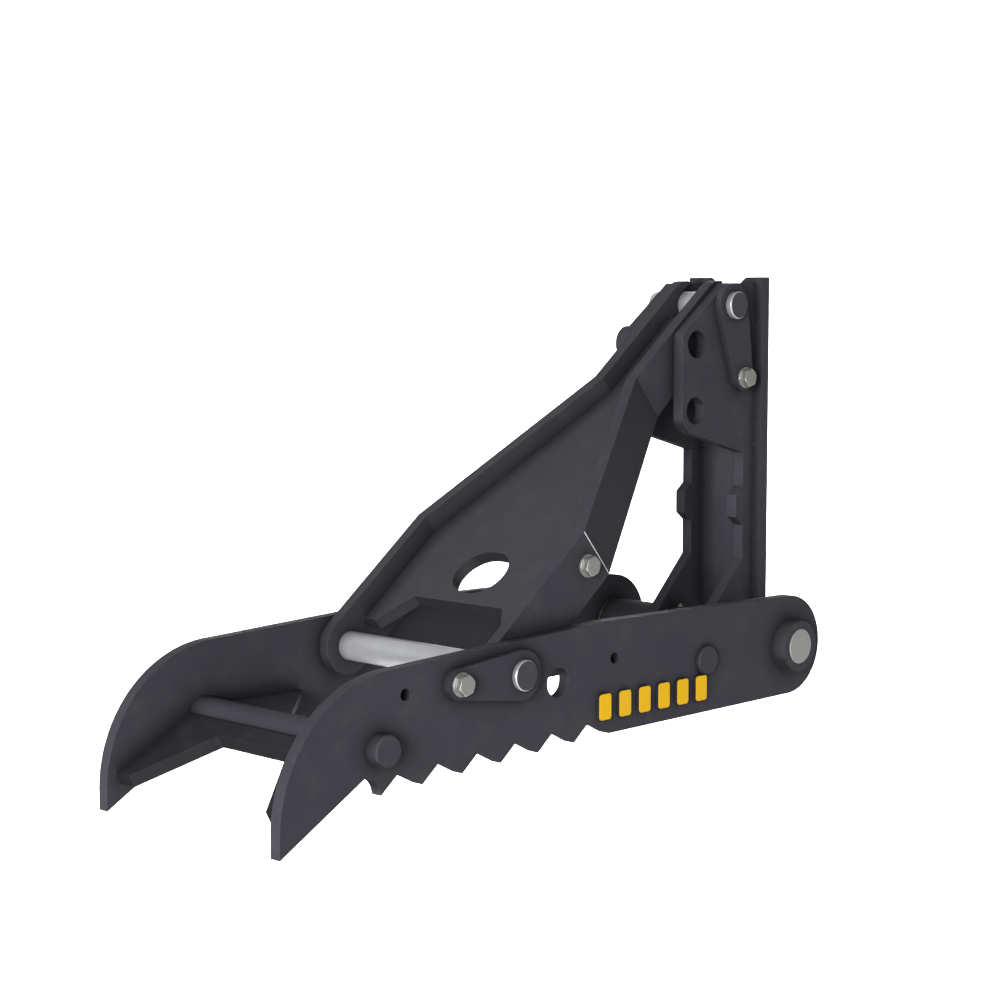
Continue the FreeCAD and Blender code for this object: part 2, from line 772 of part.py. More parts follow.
draw_outline(web_sketch, [
    (web_slot_at - web_slot_radius, -web_slot_half),
    (web_slot_at, -(web_slot_half + web_slot_radius), web_slot_radius),
    (web_slot_at + web_slot_radius, -web_slot_half, web_slot_radius),
    (web_slot_at + web_slot_radius, web_slot_half),
    (web_slot_at, web_slot_half + web_slot_radius, web_slot_radius),
    (web_slot_at - web_slot_radius, web_slot_half, web_slot_radius),
], "slot")
pad(web_sketch, web_thickness)
web_shift_x = web_offset * sine(brace_angle)
web_shift_z = web_offset * cosine(brace_angle)
place(brace_web, lower_pin_x - web_shift_x, 0, lower_pin_z + web_shift_z, brace_angle)

# Bolts, washers and flags
head_height = dim("head_height", 11)
washer_height = dim("washer_height", 3)
washer_radius = dim("washer_radius", 17)
flag_pin_radius = dim("flag_pin_radius", 36)
flag_bolt_radius = dim("flag_bolt_radius", 22)
brace_bolt_at = dim("brace_bolt_at", 217)
upper_pin_out = dim("upper_pin_out", 11)
lower_pin_out = dim("lower_pin_out", 8)
far_pin_out = dim("far_pin_out", 6)
document.recompute()


def make_flag(label, x, y, z, angle, sign):
    """A tapered retaining plate from the pin, at its origin, to the bolt along +X or -X."""
    body = new_body(label)
    sketch = new_sketch(body, "XZ_Plane", "outline")
    lean = (flag_pin_radius - flag_bolt_radius) / flag_length
    spread = root(1 - lean * lean)
    bolt_end = sign * (flag_length + flag_bolt_radius * lean)
    bolt_side = sign * flag_bolt_radius * spread
    pin_end = sign * flag_pin_radius * lean
    pin_side = sign * flag_pin_radius * spread
    draw_outline(sketch, [
        (bolt_end, -bolt_side),
        (bolt_end, bolt_side, flag_bolt_radius),
        (pin_end, pin_side),
        (-sign * flag_pin_radius, 0, flag_pin_radius),
        (pin_end, -pin_side, flag_pin_radius),
    ])
    draw_circle(sketch, 0, 0, brace_pin_radius + 0.02, "pin")
    draw_circle(sketch, sign * flag_length, 0, bolt_hole_radius, "bolt")
    pad(sketch, flag_thickness)
    place(body, x, y, z, angle)
    return body


def make_flag_bolt(prefix, x, face, z):
    """The bolt and washer that hold a flag, with the flag's outer face at Y = face."""
    ring_piece = washer(f"{prefix}_washer", bolt_radius + 0.3, washer_radius, washer_height)
    place(ring_piece, x, face - washer_height, z)
    grip = washer_height + flag_thickness + plate + nut_height - 1
    bolt = hex_bolt(f"{prefix}_bolt", bolt_flats, head_height, bolt_radius, grip)
    place(bolt, x, face - washer_height, z)


upper_pin_start = -(ear_outer + flag_thickness + upper_pin_out)
upper_pin_end = ear_outer + ear_collar_length + far_pin_out
upper_pin = round_bar("upper_pin", upper_pin_start, upper_pin_end, brace_pin_radius, as_size(2))
place(upper_pin, upper_pin_x, 0, upper_pin_z)
make_flag("upper_flag", upper_pin_x, -(ear_outer + flag_thickness / 2), upper_pin_z, ear_angle_high, -1)
make_flag_bolt("upper_flag", ear_bolt_x, -(ear_outer + flag_thickness), ear_bolt_z)

lower_pin_start = -(tine_outer + flag_thickness + lower_pin_out)
lower_pin_end = tine_outer + far_pin_out
lower_pin = round_bar("lower_pin", lower_pin_start, lower_pin_end, brace_pin_radius, as_size(2))
place(lower_pin, lower_pin_x, 0, lower_pin_z)
make_flag("lower_flag", lower_pin_x, -(tine_outer + flag_thickness / 2), lower_pin_z, flag_lean, 1)
make_flag_bolt("lower_flag", lower_bolt_x, -(tine_outer + flag_thickness), lower_bolt_z)

brace_bolt_x = lower_pin_x + brace_bolt_at * cosine(brace_angle)
brace_bolt_z = lower_pin_z + brace_bolt_at * sine(brace_angle)
brace_washer = washer("brace_washer", bolt_radius + 0.3, washer_radius, washer_height)
place(brace_washer, brace_bolt_x, -(brace_outer_low + washer_height), brace_bolt_z)
brace_bolt = hex_bolt("brace_bolt", bolt_flats, head_height, bolt_radius, washer_height + plate - 2)
place(brace_bolt, brace_bolt_x, -(brace_outer_low + washer_height), brace_bolt_z)
bolt_seat = new_sketch(document.getObject("brace_side_right"), "XZ_Plane", "bolt_seat")
draw_circle(bolt_seat, brace_bolt_at, 0, bolt_radius + 0.05, "bolt_seat")
pocket_through(bolt_seat, "bolt_seat_cut")

# Check every object, then write each sub-part
document.recompute()
for item in document.Objects:
    if "Invalid" in item.State or "Error" in item.State:
        raise RuntimeError(f"{item.Label}: {item.State}")

os.makedirs("parts", exist_ok=True)
for item in document.Objects:
    if item.TypeId != "PartDesign::Body":
        continue
    shape = item.Shape
    if shape.isNull() or not shape.isValid():
        raise RuntimeError(f"{item.Label}: bad shape")
    shape.exportStep(f"parts/{item.Label}.step")
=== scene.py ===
import json
import math

import bmesh
import bpy
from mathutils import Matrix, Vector


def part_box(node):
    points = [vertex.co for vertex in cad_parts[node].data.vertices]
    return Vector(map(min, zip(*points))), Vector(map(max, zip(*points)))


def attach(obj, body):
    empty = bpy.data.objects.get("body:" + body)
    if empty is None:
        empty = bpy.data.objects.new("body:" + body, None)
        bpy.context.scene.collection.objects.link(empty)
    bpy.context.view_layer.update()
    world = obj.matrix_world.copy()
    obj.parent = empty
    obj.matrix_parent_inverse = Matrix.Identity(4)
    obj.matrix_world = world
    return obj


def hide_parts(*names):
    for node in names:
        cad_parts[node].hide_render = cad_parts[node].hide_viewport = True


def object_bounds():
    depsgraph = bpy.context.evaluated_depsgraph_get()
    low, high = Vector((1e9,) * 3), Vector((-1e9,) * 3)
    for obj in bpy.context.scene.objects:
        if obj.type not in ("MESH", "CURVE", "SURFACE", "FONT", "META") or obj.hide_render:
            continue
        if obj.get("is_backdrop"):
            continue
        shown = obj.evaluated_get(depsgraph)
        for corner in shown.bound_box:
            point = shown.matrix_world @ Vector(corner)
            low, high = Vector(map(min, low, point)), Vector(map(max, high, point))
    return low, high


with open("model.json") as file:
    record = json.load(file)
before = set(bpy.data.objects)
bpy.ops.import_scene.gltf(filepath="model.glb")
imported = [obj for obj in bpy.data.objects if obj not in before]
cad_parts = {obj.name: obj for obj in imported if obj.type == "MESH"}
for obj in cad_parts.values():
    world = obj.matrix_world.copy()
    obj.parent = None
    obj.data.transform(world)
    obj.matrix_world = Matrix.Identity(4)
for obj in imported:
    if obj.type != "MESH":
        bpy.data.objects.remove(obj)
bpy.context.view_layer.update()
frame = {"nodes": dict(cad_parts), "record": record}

# Looks of a weld-on excavator thumb: charcoal plates with weld beads, turned pins, zinc bolts.
# Everything is in metres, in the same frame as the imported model.

scene = bpy.context.scene
MM = 0.001

# The pad's rear face and its centre's height, in millimetres from the main pivot's axis
PAD_REACH = 96
PAD_HEIGHT = 308.5


def spot(x, y, z):
    """A point given in millimetres from the main pivot's axis."""
    return Vector((x - PAD_REACH, y, z - PAD_HEIGHT)) * MM


# Camera, at the photograph's angle
CAMERA_PLACE = (-2.8655, -2.3102, 0.24855)
CAMERA_YAW = 45
CAMERA_DROP = 5.34
camera_data = bpy.data.cameras.new("camera")
camera_data.sensor_width = 36
camera_data.lens = 77.70
camera_data.clip_end = 60
camera = bpy.data.objects.new("camera", camera_data)
camera.location = CAMERA_PLACE
camera.rotation_euler = (math.radians(90 - CAMERA_DROP), 0, math.radians(-CAMERA_YAW))
scene.collection.objects.link(camera)
scene.camera = camera
scene.view_settings.view_transform = "Standard"


# Material helpers

class Nodes:
    """Adds nodes to one material's tree."""

    def __init__(self, name):
        self.material = bpy.data.materials.new(name)
        self.material.use_nodes = True
        self.tree = self.material.node_tree
        self.shader = self.tree.nodes["Principled BSDF"]

    def add(self, kind, inputs=None, **settings):
        node = self.tree.nodes.new(kind)
        for key, value in settings.items():
            setattr(node, key, value)
        for key, value in (inputs or {}).items():
            self.put(node.inputs[key], value)
        return node

    def put(self, socket, value):
        if isinstance(value, bpy.types.NodeSocket):
            self.tree.links.new(value, socket)
        else:
            socket.default_value = value

    def coords(self):
        return self.add("ShaderNodeTexCoord").outputs["Object"]

    def noise(self, vector, scale, detail=4, roughness=0.55):
        values = {"Vector": vector, "Scale": scale, "Detail": detail, "Roughness": roughness}
        return self.add("ShaderNodeTexNoise", values).outputs["Fac"]

    def math(self, operation, first, second=0.0, clamp=False):
        node = self.add("ShaderNodeMath", {0: first, 1: second}, operation=operation, use_clamp=clamp)
        return node.outputs[0]

    def ramp(self, value, low, high, to_low=0.0, to_high=1.0):
        values = {"Value": value, "From Min": low, "From Max": high, "To Min": to_low, "To Max": to_high}
        return self.add("ShaderNodeMapRange", values).outputs["Result"]

    def blend(self, factor, first, second):
        node = self.add("ShaderNodeMix", data_type="RGBA")
        self.put(node.inputs["Factor"], factor)
        self.put(node.inputs[6], first)
        self.put(node.inputs[7], second)
        return node.outputs[2]

    def bump(self, height, strength, distance, normal=None):
        values = {"Height": height, "Strength": strength, "Distance": distance}
        if normal is not None:
            values["Normal"] = normal
        return self.add("ShaderNodeBump", values).outputs["Normal"]

    def edges(self, radius):
        """How far each spot is from flat, near a corner, and the corner's rounded normal."""
        bevel = self.add("ShaderNodeBevel", {"Radius": radius}, samples=6)
        geometry = self.add("ShaderNodeNewGeometry")
        product = self.add("ShaderNodeVectorMath", operation="DOT_PRODUCT")
        self.put(product.inputs[0], bevel.outputs["Normal"])
        self.put(product.inputs[1], geometry.outputs["True Normal"])
        return self.ramp(product.outputs["Value"], 0.995, 0.8), bevel.outputs["Normal"]

    def nook(self, reach):
        """How open each spot is, from 0 in a deep corner to 1 in the open."""
        return self.add("ShaderNodeAmbientOcclusion", {"Distance": reach}, samples=4).outputs["AO"]

    def finish(self, **inputs):
        for key, value in inputs.items():
            self.put(self.shader.inputs[key.replace("_", " ")], value)
        return self.material


# Colours, as pairs where the finish drifts between two tones
COAT = ((0.0258, 0.0253, 0.0315), (0.0305, 0.03, 0.0365))
WEB_COAT = ((0.0275, 0.0278, 0.033), (0.032, 0.0323, 0.038))
YELLOW = ((0.48, 0.28, 0.006), (0.52, 0.305, 0.008))
DUST = (0.11, 0.108, 0.1, 1)
RUBBED = (0.15, 0.15, 0.16, 1)
# A near-black tone for painted shade in the nooks and on the undersides of the coat
PAINTED_SHADE_TONE = (0.004, 0.004, 0.0045, 1)
# A dark tone for painted shade in the nooks of turned steel
STEEL_SHADE_TONE = (0.05, 0.05, 0.052, 1)
MAIN_PIN_STEEL = (0.31, 0.307, 0.3)
SET_PIN_STEEL = (0.39, 0.395, 0.41)
ZINC = (0.37, 0.366, 0.35)
BRONZE = (0.14, 0.1, 0.06)
# A bright steel tone for the strip that paints the highlight along the brace fold
FOLD_HIGHLIGHT_TONE = (0.75, 0.75, 0.76)

# Reach in metres of the painted shade in nooks, on the coat and on turned steel
COAT_SHADE_REACH = 0.035
STEEL_SHADE_REACH = 0.02

STEEL_METALLIC = 0.6


def painted(name, base, light, roughness=0.64, peel=0.2):
    """Satin powder coat: soft colour drift, orange peel, rubbed edges, a little dust, and painted
    shade that darkens the nooks and the undersides."""
    n = Nodes(name)
    where = n.coords()
    corner, normal = n.edges(0.0011)
    drift = n.ramp(n.noise(where, 4, 5), 0.3, 0.7)
    cloud = n.noise(where, 26, 6, 0.65)
    colour = n.blend(drift, (*base, 1), (*light, 1))
    dust = n.ramp(cloud, 0.5, 0.8, 0, 0.1)
    colour = n.blend(dust, colour, DUST)
    rub = n.math("MULTIPLY", corner, n.ramp(n.noise(where, 90, 6, 0.7), 0.4, 0.62), True)
    colour = n.blend(n.math("MULTIPLY", rub, 0.25), colour, RUBBED)
    true_normal = n.add("ShaderNodeNewGeometry").outputs["True Normal"]
    facing = n.add("ShaderNodeSeparateXYZ", {"Vector": true_normal})
    # Painted shade: the colour goes near black in nooks, by ambient occlusion, and on faces that turn
    # downwards
    shade_in_nooks = n.ramp(n.nook(COAT_SHADE_REACH), 0.4, 0.96, 0.88, 0.0)
    shade_on_undersides = n.ramp(facing.outputs[2], -0.5, -0.15, 0.72, 0.0)
    painted_shade_amount = n.math("MAXIMUM", shade_in_nooks, shade_on_undersides)
    colour = n.blend(painted_shade_amount, colour, PAINTED_SHADE_TONE)
    rough = n.ramp(cloud, 0.3, 0.75, roughness - 0.05, roughness + 0.1)
    rough = n.math("ADD", rough, n.math("MULTIPLY", painted_shade_amount, 0.35), True)
    grain = n.bump(n.noise(where, 650, 2, 0.5), peel, 0.0003, normal)
    wave = n.bump(n.noise(where, 60, 3, 0.5), 0.08, 0.0008, grain)
    return n.finish(Base_Color=colour, Roughness=rough, Normal=wave, Specular_IOR_Level=0.08)


def turned_steel(name, colour, middle, roughness, coated_end=None):
    """Turned steel with fine rings about an axis along Y through the given spot. The coat of
    the plates also covers the end beyond coated_end."""
    n = Nodes(name)
    where = n.coords()
    corner, normal = n.edges(0.0006)
    parts = n.add("ShaderNodeSeparateXYZ", {"Vector": where})
    across = n.math("SUBTRACT", parts.outputs[0], middle.x)
    above = n.math("SUBTRACT", parts.outputs[2], middle.z)
    across_squared = n.math("MULTIPLY", across, across)
    above_squared = n.math("MULTIPLY", above, above)
    reach = n.math("SQRT", n.math("ADD", across_squared, above_squared))
    line = n.add("ShaderNodeCombineXYZ")
    n.put(line.inputs[0], n.math("ADD", parts.outputs[1], reach))
    rings = n.noise(line.outputs[0], 1500, 2, 0.6)
    smear = n.noise(where, 14, 5, 0.6)
    tone = n.blend(n.ramp(smear, 0.3, 0.7), (*colour, 1), (*[c * 0.84 for c in colour], 1))
    tone = n.blend(n.math("MULTIPLY", corner, 0.4), tone, (0.85, 0.85, 0.86, 1))
    texture = n.math("ADD", n.math("MULTIPLY", rings, 0.3), n.math("MULTIPLY", smear, 0.7))
    rough = n.ramp(texture, 0.3, 0.7, roughness - 0.04, roughness + 0.08)
    # Painted shade: the steel darkens in its nooks, by ambient occlusion
    tone = n.blend(n.ramp(n.nook(STEEL_SHADE_REACH), 0.45, 0.9, 0.65, 0.0), tone, STEEL_SHADE_TONE)
    metal = STEEL_METALLIC
    if coated_end is not None:
        coat = n.math("LESS_THAN", parts.outputs[1], coated_end)
        tone = n.blend(coat, tone, (*[0.75 * value for value in COAT[0]], 1))
        rough = n.math("ADD", rough, n.math("MULTIPLY", coat, 0.22))
        metal = n.math("MULTIPLY", n.math("SUBTRACT", 1.0, coat), STEEL_METALLIC)
    bumped = n.bump(rings, 0.08, 0.0001, normal)
    return n.finish(Base_Color=tone, Roughness=rough, Metallic=metal, Normal=bumped)


def plated(name, colour, roughness=0.32):
    """Zinc plating: a faint cold and warm drift with small spangles."""
    n = Nodes(name)
    where = n.coords()
    corner, normal = n.edges(0.0005)
    cells = n.add("ShaderNodeTexVoronoi", {"Vector": where, "Scale": 420})
    drift = n.ramp(n.noise(where, 60, 4), 0.35, 0.65)
    warm = (colour[0] * 0.92, colour[1] * 0.9, colour[2] * 0.82, 1)
    tone = n.blend(drift, (*colour, 1), warm)
    tone = n.blend(n.math("MULTIPLY", cells.outputs["Distance"], 0.3), tone, (0.3, 0.31, 0.32, 1))
    tone = n.blend(n.math("MULTIPLY", corner, 0.35), tone, (0.8, 0.8, 0.78, 1))
    rough = n.ramp(n.noise(where, 240, 3), 0.3, 0.7, roughness - 0.06, roughness + 0.1)
    bumped = n.bump(n.noise(where, 500, 3), 0.08, 0.0002, normal)
    return n.finish(Base_Color=tone, Roughness=rough, Metallic=0.85, Normal=bumped)


def middle_of(node):
    low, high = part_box(node)
    return Vector([(a + b) / 2 for a, b in zip(low, high)])


def near_end_of(node):
    """Just inside the node's end towards -Y, so that only its end face lies beyond."""
    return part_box(node)[0][1] + 0.0006


paint = painted("charcoal_coat", *COAT)
web_paint = painted("charcoal_coat_web", *WEB_COAT)
# A copy of the coat at half the colour, for the front plate deep between the tines: painted shade
shaded_copy_paint = painted("charcoal_coat_shaded_copy", *[[0.5 * value for value in tone] for tone in COAT])
weld_paint = painted("charcoal_weld", *COAT, 0.66, 0.4)
zinc = plated("zinc_plate", ZINC)
bronze = plated("bearing_bronze", BRONZE, 0.4)
yellow = painted("yellow_mark", *YELLOW, 0.5, 0.1)
main_steel = turned_steel("main_pin_steel", MAIN_PIN_STEEL, middle_of("main_pin"), 0.36)
lower_steel = turned_steel(
    "lower_pin_steel", SET_PIN_STEEL, middle_of("lower_pin"), 0.34, near_end_of("lower_pin")
)
upper_steel = turned_steel(
    "upper_pin_steel", SET_PIN_STEEL, middle_of("upper_pin"), 0.34, near_end_of("upper_pin")
)
# A bright steel finish for the painted highlight along the brace fold
fold_highlight_steel = plated("fold_highlight_steel", FOLD_HIGHLIGHT_TONE, 0.4)

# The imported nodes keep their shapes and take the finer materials
slots = {entry["node"]: entry["material_slot"] for entry in frame["record"]["subparts"]}
finishes = {"paint": paint, "zinc": zinc, "bronze": bronze}
own_finishes = {
    "brace_web": web_paint,
    "front_plate": shaded_copy_paint,
    "main_pin": main_steel,
    "lower_pin": lower_steel,
    "upper_pin": upper_steel,
}
for name, node in frame["nodes"].items():
    finish = own_finishes[name] if name in own_finishes else finishes[slots[name]]
    for slot in node.material_slots:
        slot.material = finish


# Mesh helpers

def piece(name, verts, faces, material, body, smooth):
    mesh = bpy.data.meshes.new(name)
    mesh.from_pydata([tuple(v) for v in verts], [], faces)
    mesh.materials.append(material)
    mesh.polygons.foreach_set("use_smooth", [smooth] * len(mesh.polygons))
    made = bmesh.new()
    made.from_mesh(mesh)
    bmesh.ops.recalc_face_normals(made, faces=made.faces)
    made.to_mesh(mesh)
    made.free()
    obj = bpy.data.objects.new(name, mesh)
    scene.collection.objects.link(obj)
    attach(obj, body)
    return obj


class Shape:
    """Collects the vertices and faces of one piece."""

    def __init__(self):
        self.verts = []
        self.faces = []

    def rings(self, rings):
        """Join rings of equal length into a closed skin."""
        base = len(self.verts)
        count = len(rings[0])
        for points in rings:
            self.verts.extend(points)
        for level in range(len(rings) - 1):
            for i in range(count):
                j = (i + 1) % count
                low, high = base + level * count, base + (level + 1) * count
                self.faces.append((low + i, low + j, high + j, high + i))
        self.faces.append(tuple(base + i for i in reversed(range(count))))
        self.faces.append(tuple(base + (len(rings) - 1) * count + i for i in range(count)))

    def loop(self, rings):
        """Join rings into a skin that closes on itself, like a washer or nut."""
        base = len(self.verts)
        count = len(rings[0])
        for points in rings:
            self.verts.extend(points)
        for level in range(len(rings)):
            for i in range(count):
                j = (i + 1) % count
                low = base + level * count
                high = base + (level + 1) % len(rings) * count
                self.faces.append((low + i, low + j, high + j, high + i))


def around(centre, axis, radius, along, count):
    """A ring of points about an axis; the radius may be a function of the angle."""
    across = axis.orthogonal().normalized()
    up = axis.cross(across)
    points = []
    for i in range(count):
        angle = 2 * math.pi * i / count
        size = radius(angle) if callable(radius) else radius
        points.append(centre + axis * along + (across * math.cos(angle) + up * math.sin(angle)) * size)
    return points


# Points round a hexagon, a shank and a washer face
HEX_POINTS = 72
SHANK_POINTS = 40
FACE_POINTS = 48


def hex_radius(flats):
    def size(angle):
        part = (angle + math.pi / 6) % (math.pi / 3) - math.pi / 6
        return flats / 2 / math.cos(part)
    return size


def hex_body(shape, centre, axis, flats, low, high, bore=None):
    """A hexagon with turned chamfers: a bolt's head on its washer face, or with a bore a nut,
    which is chamfered at both ends."""
    reach = flats / 2 * 0.96
    side = hex_radius(flats)
    drop = math.tan(math.radians(30))

    def edge(level, sign):
        points = []
        across = axis.orthogonal().normalized()
        up = axis.cross(across)
        for i in range(HEX_POINTS):
            angle = 2 * math.pi * i / HEX_POINTS
            size = side(angle)
            height = level - sign * max(0, size - reach) * drop
            points.append(centre + axis * height + (across * math.cos(angle) + up * math.sin(angle)) * size)
        return points

    top = [edge(high, 1), around(centre, axis, reach, high, HEX_POINTS)]
    if bore is None:
        shape.rings([around(centre, axis, side, low, HEX_POINTS)] + top)
        return
    bottom = [around(centre, axis, reach, low, HEX_POINTS), edge(low, -1)]
    lip = bore * 1.12
    inner = [
        around(centre, axis, lip, high, HEX_POINTS),
        around(centre, axis, bore, high - (lip - bore), HEX_POINTS),
        around(centre, axis, bore, low + (lip - bore), HEX_POINTS),
        around(centre, axis, lip, low, HEX_POINTS),
    ]
    shape.loop(bottom + top + inner)


def thread(shape, centre, axis, radius, low, high, pitch):
    """A screw thread as one closed skin, with a chamfered end."""
    steps_per_turn = 8
    steps = int(abs(high - low) / pitch * steps_per_turn)
    rings = []
    across = axis.orthogonal().normalized()
    up = axis.cross(across)
    for k in range(steps + 1):
        along = low + (high - low) * k / steps
        fade = min(1, (steps - k) / steps_per_turn + 0.35)
        ring = []
        for i in range(SHANK_POINTS):
            angle = 2 * math.pi * i / SHANK_POINTS
            phase = (along / pitch - i / SHANK_POINTS) % 1
            depth = abs(phase - 0.5) * 2
            size = (radius - pitch * 0.55 * depth) * (0.9 + 0.1 * fade)
            ring.append(centre + axis * along + (across * math.cos(angle) + up * math.sin(angle)) * size)
        rings.append(ring)
    shape.rings(rings)


# Fasteners, in metres: width over the flats, height of the head or nut, radius of shank or bore
FLAG_BOLT = (0.027, 0.011, 0.008)
CROSS_BOLT = (0.019, 0.0075, 0.006)
CROSS_NUT = (0.019, 0.01, 0.00605)
WELD_NUT = (0.024, 0.013, 0.00806)
THREAD_PITCH = 0.002
NEAR = Vector((0, -1, 0))
FAR = Vector((0, 1, 0))
UP = Vector((0, 0, 1))
DOWN = Vector((0, 0, -1))


def bolt(name, node, body, centre, out, size, grip):
    """A chamfered head on its washer face, a shank and a threaded end. out points from the seat
    to the head's top; grip is how far the shank reaches inwards."""
    flats, head, radius = size
    face = flats * 0.47
    shape = Shape()
    shape.rings([around(centre, out, face, 0.0, FACE_POINTS), around(centre, out, face, 0.0006, FACE_POINTS)])
    hex_body(shape, centre, out, flats, 0.0005, head)
    shank_end = -grip * 0.55
    shape.rings([
        around(centre, out, radius, 0.0, SHANK_POINTS), around(centre, out, radius, shank_end, SHANK_POINTS)
    ])
    thread(shape, centre, -out, radius - 0.00005, grip * 0.54, grip, THREAD_PITCH)
    made = piece(name, shape.verts, shape.faces, zinc, body, False)
    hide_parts(node)


def nut(name, node, body, centre, out, size, material):
    flats, height, bore = size
    shape = Shape()
    hex_body(shape, centre, out, flats, 0, height, bore)
    made = piece(name, shape.verts, shape.faces, material, body, False)
    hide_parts(node)


# The bolts on the near side, seated on their washers
for name, body in (("upper_flag", "upper_pin_set"), ("lower_flag", "lower_pin_set"), ("brace", "brace")):
    low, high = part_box(f"{name}_bolt")
    washer_low, washer_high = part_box(f"{name}_washer")
    centre = Vector(((low[0] + high[0]) / 2, washer_low[1], (low[2] + high[2]) / 2))
    bolt(f"{name}_screw", f"{name}_bolt", body, centre, NEAR, FLAG_BOLT, high[1] - centre.y)

# The cross bolt through the left collar and the main pin, with its nut below
low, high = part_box("cross_bolt")
nut_low, nut_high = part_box("cross_nut")
cross_middle = middle_of("cross_bolt")
seat = Vector((cross_middle.x, cross_middle.y, high[2] - CROSS_BOLT[1]))
bolt("cross_screw", "cross_bolt", "tine", seat, UP, CROSS_BOLT, seat.z - low[2])
seat = Vector((cross_middle.x, cross_middle.y, nut_high[2]))
nut("cross_nut_hex", "cross_nut", "tine", seat, DOWN, CROSS_NUT, zinc)

# The nuts welded inside the near ear and the near tine
weld_nuts = {"ear_nut": "base", "tine_nut_front": "tine", "tine_nut_middle": "tine", "tine_nut_rear": "tine"}
for node, body in weld_nuts.items():
    low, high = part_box(node)
    centre = Vector(((low[0] + high[0]) / 2, low[1], (low[2] + high[2]) / 2))
    nut(f"{node}_hex", node, body, centre, FAR, WELD_NUT, weld_paint)


# Weld beads: ripples set along a path, each a flattened ball of its own size
def bead_tree():
    tree = bpy.data.node_groups.new("weld_bead", "GeometryNodeTree")
    for name, kind in (
        ("Path", "NodeSocketGeometry"), ("Radius", "NodeSocketFloat"), ("Pitch", "NodeSocketFloat"),
        ("Seed", "NodeSocketInt"), ("Finish", "NodeSocketMaterial"),
    ):
        tree.interface.new_socket(name, in_out="INPUT", socket_type=kind)
    tree.interface.new_socket("Geometry", in_out="OUTPUT", socket_type="NodeSocketGeometry")
    new, link = tree.nodes.new, tree.links.new
    given, out = new("NodeGroupInput"), new("NodeGroupOutput")
    resample = new("GeometryNodeResampleCurve")
    resample.mode = "LENGTH"
    link(given.outputs["Path"], resample.inputs["Curve"])
    link(given.outputs["Pitch"], resample.inputs["Length"])
    tangent = new("GeometryNodeInputTangent")
    align = new("FunctionNodeAlignRotationToVector")
    align.axis = "Z"
    link(tangent.outputs[0], align.inputs["Vector"])
    ball = new("GeometryNodeMeshUVSphere")
    ball.inputs["Segments"].default_value = 12
    ball.inputs["Rings"].default_value = 6
    link(given.outputs["Radius"], ball.inputs["Radius"])
    sizes = new("FunctionNodeRandomValue")
    sizes.data_type = "FLOAT_VECTOR"
    sizes.inputs["Min"].default_value = (0.86, 0.86, 0.5)
    sizes.inputs["Max"].default_value = (1.08, 1.08, 0.7)
    link(given.outputs["Seed"], sizes.inputs["Seed"])
    place = new("GeometryNodeInstanceOnPoints")
    link(resample.outputs["Curve"], place.inputs["Points"])
    link(ball.outputs["Mesh"], place.inputs["Instance"])
    link(align.outputs["Rotation"], place.inputs["Rotation"])
    link(sizes.outputs["Value"], place.inputs["Scale"])
    real = new("GeometryNodeRealizeInstances")
    link(place.outputs["Instances"], real.inputs["Geometry"])
    smooth = new("GeometryNodeSetShadeSmooth")
    link(real.outputs["Geometry"], smooth.inputs["Geometry"])
    finish = new("GeometryNodeSetMaterial")
    link(smooth.outputs["Geometry"], finish.inputs["Geometry"])
    link(given.outputs["Finish"], finish.inputs["Material"])
    link(finish.outputs["Geometry"], out.inputs["Geometry"])
    return tree


BEADS = bead_tree()
BEAD_PITCH = 0.0036
BEAD_SEED = 3
TINE_BEAD = 0.0032
BRACE_BEAD = 0.0034
BASE_BEAD = 0.003


def beads(name, paths, body, radius):
    """Turn a list of paths into one mesh of weld ripples on a body."""
    curve = bpy.data.curves.new(name + "_path", "CURVE")
    curve.dimensions = "3D"
    for path in paths:
        spline = curve.splines.new("POLY")
        spline.points.add(len(path) - 1)
        for point, at in zip(spline.points, path):
            point.co = (*at, 1)
    holder = bpy.data.objects.new(name + "_path", curve)
    scene.collection.objects.link(holder)
    modifier = holder.modifiers.new("beads", "NODES")
    modifier.node_group = BEADS
    values = {"Radius": radius, "Pitch": BEAD_PITCH, "Seed": BEAD_SEED, "Finish": weld_paint}
    for item in BEADS.interface.items_tree:
        if item.in_out == "INPUT" and item.name in values:
            modifier[item.identifier] = values[item.name]
    graph = bpy.context.evaluated_depsgraph_get()
    mesh = bpy.data.meshes.new_from_object(holder.evaluated_get(graph))
    bpy.data.objects.remove(holder)
    made = bpy.data.objects.new(name, mesh)
    if not mesh.materials:
        mesh.materials.append(weld_paint)
    scene.collection.objects.link(made)
    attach(made, body)


# Weld paths on the tines: along the undersides of the cross plate and the gussets
FRONT_ROD = Vector((-888.5, 0, -36.8))
PLATE_UNDER = 10.4
GUSSET_UNDER = -42.4
GUSSET_FRONT = -862
GUSSET_REAR = -713
LEG_FRONT = -863.2
TINE_INSIDE = 180
slope = math.radians(28.1)
run = Vector((math.cos(slope), 0, math.sin(slope)))
rise = Vector((-math.sin(slope), 0, math.cos(slope)))
tine_paths = []
for sign in (1, -1):
    y = sign * TINE_INSIDE
    ends = [FRONT_ROD + run * s - rise * PLATE_UNDER + Vector((0, y, 0)) for s in (-27, -163)]
    tine_paths.append([spot(*end) for end in ends])
    tine_paths.append([spot(GUSSET_FRONT, y, GUSSET_UNDER), spot(GUSSET_REAR, y, GUSSET_UNDER)])
    tine_paths.append([spot(LEG_FRONT, sign * 20, GUSSET_UNDER), spot(LEG_FRONT, sign * 176, GUSSET_UNDER)])
cross = [FRONT_ROD + run * -24 - rise * PLATE_UNDER + Vector((0, y, 0)) for y in (-176, 176)]
tine_paths.append([spot(*end) for end in cross])
beads("tine_welds", tine_paths, "tine", TINE_BEAD)

